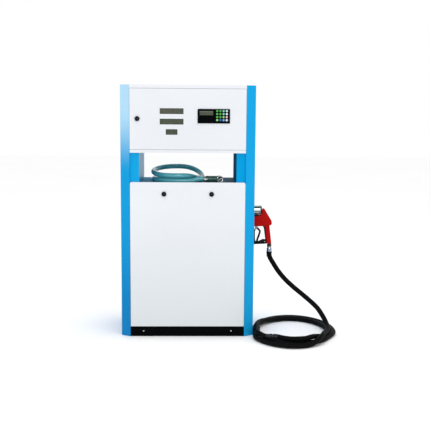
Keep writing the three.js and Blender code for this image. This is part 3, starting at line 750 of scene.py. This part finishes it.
def dress_displays():
    for name, (x, z, w, h, digits) in DISPLAYS.items():
        finish_node(name, LCD if name == "display_amount" else LCD_GREEN)
        face = limits(name)[0][1]
        gasket = framed(on_front(x, z, w, h, 0.4), on_front(x, z, w, h, 2.6), face - 1.2, face + 0.2)
        soften(piece(name + "_gasket", gasket, LCD_RIM, "head_door"), 0.3)
        marks = joined("marks", segments(x, z, w - 9, h - 4, digits, face))
        piece(name + "_digits", marks, LCD_MARK, "head_door")


def screw(x, y, z, radius, facing=-1):
    """Button-head screw with a socket, on a plane facing -Y or +Y."""
    rise = radius * 0.55
    profile = [(0, 0), (1, 0), (1, 0.35), (0.8, 0.8), (0.48, 1), (0.4, 0.9), (0.36, 0.3), (0, 0.3)]
    return turned([(r * radius, along * rise * facing) for r, along in profile], (x, y, z), "Y", 18)


def dress_keypad():
    """Housing with a bored key field, its screen, and a collar round each key."""
    face, bore = FRONT - KEYPAD_PROUD, KEY["bore"]
    pitch_x, pitch_z = KEY_X[1] - KEY_X[0], KEY_Z[0] - KEY_Z[1]
    x, z, w, h = KEYPAD
    middle = ((KEY_X[0] + KEY_X[-1]) / 2, (KEY_Z[0] + KEY_Z[-1]) / 2)
    field = on_front(*middle, 4 * pitch_x, 4 * pitch_z, 0, 0.4)
    parts = [framed(on_front(x, z, w, h, 0.4, 3.6), field, face, FRONT - 0.3),
             framed(on_front(x, z, w - 7, h - 7, 0, 2), field, FRONT - 0.5, FRONT + 8)]
    parts += [framed(on_front(x, z, pitch_x, pitch_z, 0, 0.4),
                     on_front(x, z, 2 * bore, 2 * bore, 0, bore - 0.2), face, FRONT + 8)
              for x in KEY_X for z in KEY_Z]
    parts.append(framed(on_front(*KEYPAD, 1.2, 3.2), on_front(*KEYPAD, 4, 2.4), face - 0.6, face + 0.4))
    parts.append(framed(on_front(*KEYPAD_LCD, -2.5), on_front(*KEYPAD_LCD, 0.3), face - 0.8, face + 0.4))
    housing = piece("keypad_housing", joined("bezel", parts), BEZEL, "head_door", ["keypad_bezel"])
    soften(housing, 0.35)
    glass = cushion(on_front(*KEYPAD_LCD, 0.3, 1.5), face - 0.3, face + 0.6, 0.25, 2)
    piece("keypad_screen", glass, LCD_GREEN, "head_door", ["keypad_display"])
    x, z, w, h = KEYPAD_LCD
    marks = joined("marks", segments(x, z, w - 8, h - 4, 6, face - 0.3))
    piece("keypad_digits", marks, LCD_MARK, "head_door")
    collar = [(bore + 0.1, 0), (bore + 1.3, 0), (bore + 1.1, 0.7), (bore + 0.1, 0.7), (bore + 0.1, 0)]
    collars = []
    for row, z in enumerate(KEY_Z, 1):
        for column, x in enumerate(KEY_X, 1):
            collars.append(turned(collar, (x, face - 0.6, z), "Y", 24))
            dress_key(row, column, x, z, face)
    piece("keypad_collars", joined("collars", collars), BEZEL, "head_door")


def dress_key(row, column, x, z, face):
    """A domed cap with a shallow finger dish and a raised rim, standing clear of the housing."""
    r = KEY["r"]
    out = -2.0
    profile = [(0, 1.2), (r - 0.6, 1.2), (r, 0.4), (r, out + 1.2), (r - 0.5, out + 0.4), (r - 1.3, out),
               (r - 2.4, out + 0.25), (r - 4, out + 0.5), (0, out + 0.6)]
    cap = turned([(radius, -along) for radius, along in profile], (x, face, z), "Y", 28)
    colour = KEY_COLOURS[KEY_ROWS[row - 1][column - 1]]
    piece(f"key_cap_{row}_{column}", cap, colour, f"key_{row}_{column}", [f"key_{row}_{column}"])


def dress_lock(name, x, z):
    """Cam lock: fixed collar on the sheet, a dark ring and a gunmetal face with its dark key slot; the
    barrel and cam behind the sheet are the CAD node's."""
    finish_node(name, STEEL, 0.5)
    rim, proud = LOCK["rim"], LOCK["proud"]
    ring = [(9.4, 0.5), (9.4, 1.4), (10.5, 2.2), (12.4, 2.2), (rim + 0.4, 0.9), (rim + 0.4, -proud + 0.4),
            (9.4, -proud + 0.4), (9.4, 0.5)]
    piece(name + "_ring", turned(ring, (x, FRONT - proud, z), "Y", 36), LOCK_FACE, name)
    plug = [(0, -0.2), (9.3, -0.2), (9.3, 1.3), (8.6, 1.9), (0, 1.9)]
    piece(name + "_plug", turned(plug, (x, FRONT - proud, z), "Y", 30), GUNMETAL, name)
    front = FRONT - proud - 1.9
    slot = joined("slot", [block(x - 1.1, x + 1.1, front - 0.25, front + 0.3, z - 4.6, z + 4.6),
                           turned([(0, 0), (2.1, 0), (2.1, 0.25), (0, 0.25)], (x, front, z), "Y", 16)])
    piece(name + "_keyway", slot, LOCK_FACE, name)


# ---- nozzle and its holder ----

def dress_socket():
    """Holder boot: flanged tube with a rolled lip, and the flange's screws."""
    outer, inner, end, wall = SOCKET["outer"], SOCKET["inner"], SOCKET["end"], SOCKET["wall"]
    flange, screw_ring = 50, 41
    profile = [(inner, SOCKET["start"]), (inner, end - 2), (inner + 1, end), (outer - 1.2, end + 0.6),
               (outer + 1.6, end - 1), (outer + 1.6, end - 4.5), (outer, end - 5), (outer, end - 5.6),
               (outer, wall + 3.6), (outer, wall + 3), (flange - 2, wall + 3), (flange, wall + 1.6),
               (flange, wall), (outer - 0.3, wall), (outer - 0.3, SOCKET["start"]),
               (inner, SOCKET["start"])]
    boot = turned(profile, (0, 0, SOCKET["z"]), "X", 56)
    piece("holder_boot", boot, CHROME, "cabinet", ["nozzle_socket"])
    head = [(0, 0), (4, 0), (4, 1.2), (3, 2.4), (1.6, 2.6), (1.5, 1), (0, 1)]
    heads = []
    for i in range(4):
        a = math.pi / 4 + i * math.pi / 2
        place = (wall + 3, screw_ring * math.cos(a), SOCKET["z"] + screw_ring * math.sin(a))
        heads.append(turned(head, place, "X", 16))
    piece("holder_screws", joined("bolts", heads), STEEL, "cabinet")


def dress_nozzle():
    body = filleted([(402, 640, 9), (500, 640.5, 13), (520, 653, 11), (516, 676, 16), (487, 724, 20),
                     (471, 751, 11), (454, 743, 9), (454.5, 713, 4), (444, 709, 10), (402, 699, 8)], 6)
    grip = filleted([(488.5, 529, 8), (519, 529, 8), (512.5, 580, 0), (503, 655, 9), (473, 655, 9),
                     (479, 610, 0), (485, 570, 0)], 5)
    cover = joined("cover", [cushion(body, -22, 22, 5), cushion(grip, -16.5, 16.5, 5)])
    piece("nozzle_cover", cover, RED, "nozzle", ["nozzle_body"])
    saddle = filleted([(400.5, 690, 2), (400.5, 712, 3), (436, 712, 3), (446, 706, 3), (446, 690, 2)])
    piece("nozzle_saddle", cushion(saddle, -11, 11, 1.2, 2), LEVER, "nozzle")
    insert = filleted([(463, 643, 2), (471.2, 624, 0), (475.5, 595, 0), (479.5, 564, 0), (482, 548, 3),
                       (492, 548, 3), (489, 575, 0), (484, 610, 0), (478, 643, 3)], 4)
    piece("grip_insert", cushion(insert, -13.5, 13.5, 1.5, 3), LEVER, "nozzle")
    x, z = LEVER_PIN
    lug = filleted([(x - 7, z - 6, 5), (x + 7, z - 6, 5), (x + 8, 647, 1), (x - 8, 647, 1)])
    pin_head = [(0, 13.2), (4.2, 13.2), (4.2, 14.6), (3.2, 15.6), (0, 15.8)]
    lugs = [cushion(lug, y - 2, y + 2, 0.8, 2) for y in (-11.3, 11.3)]
    lugs += [turned([(r, s * y) for r, y in pin_head], (x, 0, z), "Y", 18) for s in (-1, 1)]
    link = filleted([(x + 1, z - 5, 1.5), (x - 8, z - 24, 2), (x - 13, z - 22, 2), (x - 6, z - 3, 1.5)])
    lugs.append(cushion(link, -3, 3, 0.8, 2))
    piece("lever_lugs", joined("lugs", lugs), STEEL, "nozzle")
    screws = [screw(476.5, 8 * s, 541.6, 3.6, s) for s in (-1, 1)]
    piece("nozzle_screws", joined("screws", screws), CHROME, "nozzle")


def dress_guard():
    """Hand guard: a strap down from the body, a foot, and two cheeks that the lever swings between."""
    strap = filleted([(403, 640, 0), (409.5, 640, 0), (415.5, 604, 0), (416, 558, 6), (420, 538, 5),
                      (490, 538, 2), (488, 528.5, 3), (406, 524.5, 5), (408.5, 600, 0)], 4)
    cheek = filleted([(418, 530, 2), (418, 544, 4), (440, 544.5, 8), (467, 557.5, 8), (486, 553, 3),
                      (490, 532, 2)], 4)
    parts = [cushion(strap, -8, 8, 1.5, 3)]
    parts += [cushion(cheek, y - 1.4, y + 1.4, 0.7, 2) for y in (-6.6, 6.6)]
    piece("hand_guard", joined("guard", parts), LEVER, "nozzle", ["nozzle_guard"])


def dress_lever():
    """The trigger: a wide bar under the fingers with a narrower tip."""
    bar = filleted([(417.5, 636, 4), (431, 634, 8), (452.5, 611, 9), (450.5, 599, 9), (442, 568, 3),
                    (430.5, 568, 3), (440, 600, 5), (440, 609, 5), (428, 619.5, 6), (417.5, 625, 4)], 5)
    tip = filleted([(430, 572, 2), (442, 572, 2), (433.5, 543, 4), (422.5, 544.5, 4)], 4)
    parts = [cushion(bar, -8.7, 8.7, 1.5, 3), cushion(tip, -4.6, 4.6, 1.5, 3)]
    piece("trigger", joined("lever", parts), LEVER, "nozzle_lever", ["nozzle_lever"])


def dress_spout():
    """Spout with its anchor rings, the threaded root and the splash washer."""
    tip, end, r = SPOUT["tip"], SPOUT["end"], SPOUT["r"]
    axis = (0, 0, SOCKET["z"])
    profile = [(r - 1.5, tip), (r - 1.5, end), (20, end), (20, end - 26), (17, end - 29),
               (r + 2.5, end - 32), (r + 2.5, end - 36), (r, end - 40), (r, tip + 3), (r - 0.7, tip),
               (r - 1.5, tip)]
    parts = [turned(profile, axis, "X", 36)]
    for at in range(340, 400, 9):
        rib = [(r, at), (r + 1.1, at + 1), (r + 1.1, at + 3), (r, at + 4), (r - 0.5, at + 2), (r, at)]
        parts.append(turned(rib, axis, "X", 36))
    washer = [(20, 449), (25, 448.5), (26, 450), (26, 452), (24.5, 453), (21, 452.5), (20, 452.5),
              (20, 449)]
    piece("spout_tube", joined("spout", parts), ALUMINIUM, "nozzle", ["nozzle_spout"])
    piece("splash_washer", turned(washer, axis, "X", 40), LEVER, "nozzle")


def hexagon(across, z0, z1, centre, edge=0.8):
    """Hexagonal nut on a vertical axis, from z0 to z1, with eased rims."""
    x, y = centre
    radius = across / math.sqrt(3)
    rings = [(radius - edge, z0), (radius, z0 + edge), (radius, z1 - edge), (radius - edge, z1)]
    turns = [math.pi / 3 * i for i in range(6)]
    rows = [[Vector((x + r * math.cos(a), y + r * math.sin(a), z)) * MM for a in turns] for r, z in rings]
    return mesh_from("hexagon", *lofted(rows), smooth=False)


def dress_swivel():
    """From the hose up: rubber sleeve, crimped ferrule, brass bearing, nut and neck."""
    x, top, low = GRIP["x"], GRIP["z"], GRIP["hose"]
    bore = 9
    ferrule = [(bore, low), (15.6, low), (16.2, low + 3), (16.2, low + 14), (16, low + 24), (15, low + 30),
               (12.5, low + 33), (12.5, low + 42), (bore, low + 42), (bore, low)]
    bearing = [(bore, low + 38), (13.4, low + 38), (14.2, low + 39), (14.2, low + 41.2), (13.4, low + 42),
               (bore, low + 42), (bore, low + 38)]
    sleeve = [(14.6, low - 24), (15.2, low - 24.5), (15.7, low - 20), (16.2, low - 8), (17, low + 1),
              (17.2, low + 8), (16.5, low + 9), (13.4, low + 9), (14.6, low - 24)]
    ferrule = turned(ferrule, (x, 0, 0), "Z", 40)
    piece("hose_ferrule", ferrule, FERRULE, "nozzle_swivel", ["nozzle_swivel"])
    nut = hexagon(25, low + 42, top - 6, (x, 0))
    soften(piece("swivel_nut", nut, GUNMETAL, "nozzle_swivel"), 0.4)
    for name, profile, material, slot in (
            ("swivel_neck", band(bore, 13, top - 6, top - 0.2), GUNMETAL, "chrome"),
            ("swivel_bearing", bearing, BRASS, "brass"), ("hose_sleeve", sleeve, RUBBER, "rubber")):
        piece(name, turned(profile, (x, 0, 0), "Z", 36), material, "nozzle_swivel")


# ---- fitting on the end of the suction hose ----

def dress_suction_fitting():
    """Barbed tail with its worm clamp, a rubber elbow, and an open coupling ring turned to the front."""
    low, high = limits("suction_fitting")
    start, end, y, z = low[0], high[0], (low[1] + high[1]) / 2, (low[2] + high[2]) / 2
    barb = [(9, start), (15.4, start), (16.2, start + 2), (16.2, start + 3.5), (13.5, start + 4.5),
            (14.6, start + 9), (12, start + 10), (12, start + 20), (9, start + 20), (9, start)]
    piece("hose_barb", turned(barb, (0, y, z), "X", 30), BRASS, "cabinet", ["suction_fitting"])
    screw_head = [(0, start + 17), (4.6, start + 17), (4.6, start + 24), (3.4, start + 26), (0, start + 26)]
    clamp = [turned(band(15.6, 17.4, start + 7, start + 16), (0, y, z), "X", 36),
             cushion(rounded(start + 4.5, start + 19, z - 6, z + 5, 2), y - 23, y - 16, 1, 2),
             turned(screw_head, (0, y - 19.5, z), "X", 18)]
    piece("worm_clamp", joined("clamp", clamp), CHROME, "cabinet")
    stub = smooth_path([(start + 14, y, z), (start + 30, y, z), (start + 48, y, z), (start + 64, y - 1, z),
                        (end - 30, y - 4, z)], 6)
    piece("rubber_elbow", tube("elbow", stub, 18.6, 28), STUB_GREEN, "cabinet")
    bead = [(18, 0), (19.8, 1), (19.8, 3), (18, 4), (17, 2), (18, 0)]
    beads = [turned(bead, (at, y, z), "X", 32) for at in (start + 22, start + 60)]
    piece("elbow_beads", joined("beads", beads), STUB_GREEN, "cabinet")
    ring = [(15.4, -12), (19.6, -12), (20.6, -10.5), (20.6, -7), (19.4, -6), (19.4, 6), (20.6, 7),
            (20.6, 10.5), (19.6, 12), (15.4, 12), (15.4, -12)]
    web = [(0, -3), (15.6, -3), (15.6, -1), (0, -1)]
    turn = Matrix.Translation(Vector((end - 21, y - 2, z)) * MM) @ Matrix.Rotation(math.radians(24), 4, "Z")
    for name, profile, material, slot in (("coupling_ring", ring, CLEAR_RIM, "steel"),
                                          ("coupling_web", web, STUB_GREEN, "rubber")):
        mesh = turned(profile, (0, 0, 0), "Y", 44)
        mesh.transform(turn)
        piece(name, mesh, material, "cabinet")
    bar = block(-14, 14, -9, -3, -2, 2)
    bar.transform(turn @ Matrix.Rotation(math.radians(-32), 4, "Y"))
    soften(piece("coupling_lever", bar, CLEAR_RIM, "cabinet"), 1)


dress_displays()
dress_keypad()
for lock_name, (lock_x, lock_z) in LOCKS.items():
    dress_lock(lock_name, lock_x, lock_z)
dress_socket()
dress_nozzle()
dress_guard()
dress_lever()
dress_spout()
dress_swivel()
dress_suction_fitting()

# ---- works inside the cabinet ----

INSIDE = {
    "controller_box": (STEEL, 1.0), "motor": (MOTOR_BLUE, 1.5), "motor_pulley": (IRON, 0.5),
    "drive_belt": (BELT, 0.8), "pump_pulley": (IRON, 0.5), "pump_unit": (IRON, 2.5),
    "riser_pipe": (STEEL, 0.6), "flow_meter": (ALUMINIUM, 2.0), "pulser": (BLACK, 1.5),
    "solenoid_valve": (BRASS, 1.2),
    "outlet_pipe": (STEEL, 0.0), "nozzle_switch_flap": (STEEL, 0.3),
}
for node_name, (node_material, node_width) in INSIDE.items():
    finish_node(node_name, node_material, node_width)


# ---- fasteners, covers and vents ----

def bolts(axis, centre, face, side, size, pitch=0, count=1):
    """Bolt heads on a face across an axis, alone or in a ring of radius pitch: centre gives the other
    two coordinates in X, Y, Z order, face the place along the axis, side the way the heads point."""
    rim, top = face + side * size * 0.8, face + side * size * 1.1
    head = [(0, face), (size, face), (size, rim), (size * 0.8, top), (0, top)]
    heads = []
    for i in range(count):
        a = math.pi / 4 + 2 * math.pi * i / count
        u, v = centre[0] + pitch * math.cos(a), centre[1] + pitch * math.sin(a)
        heads.append(turned(head, {"X": (0, u, v), "Y": (u, 0, v), "Z": (u, v, 0)}[axis], axis, 6))
    return heads


def dress_outside():
    """Casing screws, louvres, the blank plate, and the outlet's union and cap."""
    back = -FRONT
    heads = [screw(263 * s, limits("base_frame")[0][1], 33, 5) for s in (-1, 1)]
    heads += [screw(326 * s, back, z, 5, 1) for s in (-1, 1)
              for z in (1142, 1302, 1462, 84, 290, 496, 702, 900)]
    piece("casing_screws", joined("screws", heads), CHROME, "cabinet")
    louvres, slot_shades = [], []
    for x in (-130, 130):
        for z in range(640, 640 + 7 * 22, 22):
            louvres.append(cushion(rounded(x - 62, x + 62, z, z + 11, 5), back - 1, back + 4, 2.4, 3))
            # painted shade: a black block under each louvre stands in for the dark of its opening
            slot_shades.append(block(x - 54, x + 54, back - 0.5, back + 0.4, z - 3.4, z - 0.6))
    piece("vent_louvres", joined("louvres", louvres), PANEL_WHITE, "cabinet")
    piece("vent_slot_shades", joined("slot_shades", slot_shades), BLACK, "cabinet")
    plate = cushion(rounded(-55, 55, 1176, 1246, 4), back + 0.2, back + 1.4, 0.5, 2)
    piece("blank_plate", plate, ALUMINIUM, "cabinet")
    rivets = [screw(x, back + 1.4, z, 2.6, 1) for x in (-49, 49) for z in (1182, 1240)]
    piece("plate_rivets", joined("rivets", rivets), STEEL, "cabinet")
    end, outlet_back, _ = limits("outlet_pipe")[1]
    axis, skin = (0, outlet_back - 14, OUTLET_Z), SOCKET["wall"]
    washer = [(14.4, skin), (27, skin), (27, skin + 1.6), (25.6, skin + 2.6), (14.4, skin + 2.6),
              (14.4, skin)]
    union = [(14.3, skin + 4), (19, skin + 4), (20, skin + 5), (20, skin + 10), (19, skin + 11),
             (14.3, skin + 11), (14.3, skin + 4)]
    union = joined("union", [turned(washer, axis, "X", 36), turned(union, axis, "X", 6)])
    piece("outlet_union", union, STEEL, "cabinet")
    cap = [(0, end + 0.2), (13.4, end + 0.2), (14.6, end + 1.2), (14.6, end + 5), (13, end + 6.4),
           (0, end + 6.4)]
    piece("outlet_cap", turned(cap, axis, "X", 36), LEVER, "cabinet")


def dress_motor():
    """Ribbed fan cover and terminal lid; returns the heads of the bolts on the drive end."""
    (x0, y0, _), (x1, y1, z1) = limits("motor")
    x = (x0 + x1) / 2
    grille = [(0, 0.2), (70, 0.2), (70, 7), (66, 10), (60, 10)]
    for r in (58, 38, 18):
        grille += [(r, 7), (r - 8, 7), (r - 10, 10), (r - 18, 10)] if r > 18 else [(r, 7), (0, 7)]
    cover = turned([(r, y1 + h) for r, h in grille], (x, 0, MOTOR_Z), "Y", 40)
    lid = block(x - 42, x + 42, y0 + 48, y1 - 58, z1 + 0.2, z1 + 4)
    soften(piece("motor_covers", joined("covers", [cover, lid]), MOTOR_BLUE, "cabinet"), 0.8)
    return bolts("Y", (x, MOTOR_Z), y0, -1, 4.5, 60, 4)


def dress_pump():
    """Lid of the air separator; returns the heads of the bolts on it and on the pump's feet."""
    (x0, y0, _), (x1, _, z1) = limits("pump_unit")
    heads = []
    for side, face in ((-1, y0 + 6), (1, -y0 - 6)):
        for x in (x0 + 14, x0 + 52, x1 - 52, x1 - 14):
            for z in (PUMP_Z - 134, PUMP_Z + 66):
                heads += bolts("Y", (x, z), face, side, 4.5)
    lid = [(0, z1 + 0.2), (34, z1 + 0.2), (34, z1 + 5), (32, z1 + 7), (0, z1 + 7)]
    piece("separator_lid", turned(lid, (*SEPARATOR, 0), "Z", 40), IRON, "cabinet")
    return heads + bolts("Z", SEPARATOR, z1 + 7, 1, 4, 25, 6)


def dress_meter():
    """Nut of the valve's coil; returns the heads of the bolts on the meter and on the riser."""
    (x0, y0, z0), (x1, y1, z1) = limits("flow_meter")
    x, y, z = (x0 + x1) / 2, (y0 + y1) / 2, (z0 + z1) / 2 + 2
    (_, _, low), (_, _, high) = limits("riser_pipe")
    heads = bolts("X", (y, z), x0, -1, 4, 29, 6)
    heads += bolts("Y", (x, z), y0, -1, 4, 29, 6) + bolts("Y", (x, z), y1, 1, 4, 29, 6)
    heads += bolts("Z", (x, y), low + 10, 1, 3.6, 25, 4) + bolts("Z", (x, y), high - 10, -1, 3.6, 25, 4)
    (x0, y0, _), (x1, y1, z1) = limits("solenoid_valve")
    nut = hexagon(18, z1 + 0.2, z1 + 8, ((x0 + x1) / 2, (y0 + y1) / 2))
    piece("coil_nut", nut, STEEL, "cabinet")
    return heads


def dress_computer(heads):
    """The screws of its cover, which join the other heads, and its circuit board with its chips."""
    (x0, y0, z0), (x1, _, z1) = limits("controller_box")
    wall = y0 + 15
    heads += [screw(x, wall, z, 4) for x in (x0 + 12, x1 - 12) for z in (z0 + 12, z1 - 12)]
    piece("train_bolts", joined("heads", heads), STEEL, "cabinet")
    board = cushion(rounded(x0 + 14, x1 - 14, z0 + 14, z1 - 14, 4), wall + 12, wall + 14, 0.5, 2)
    piece("computer_board", board, BOARD, "cabinet")
    chips = [block(x, x + 34, wall + 14.2, wall + 18, z, z + 16)
             for x in range(int(x0) + 30, int(x1) - 50, 58) for z in range(int(z0) + 34, int(z1) - 40, 46)]
    soften(piece("computer_chips", joined("chips", chips), BELT, "cabinet"), 0.6)


dress_outside()
dress_computer(dress_motor() + dress_pump() + dress_meter())
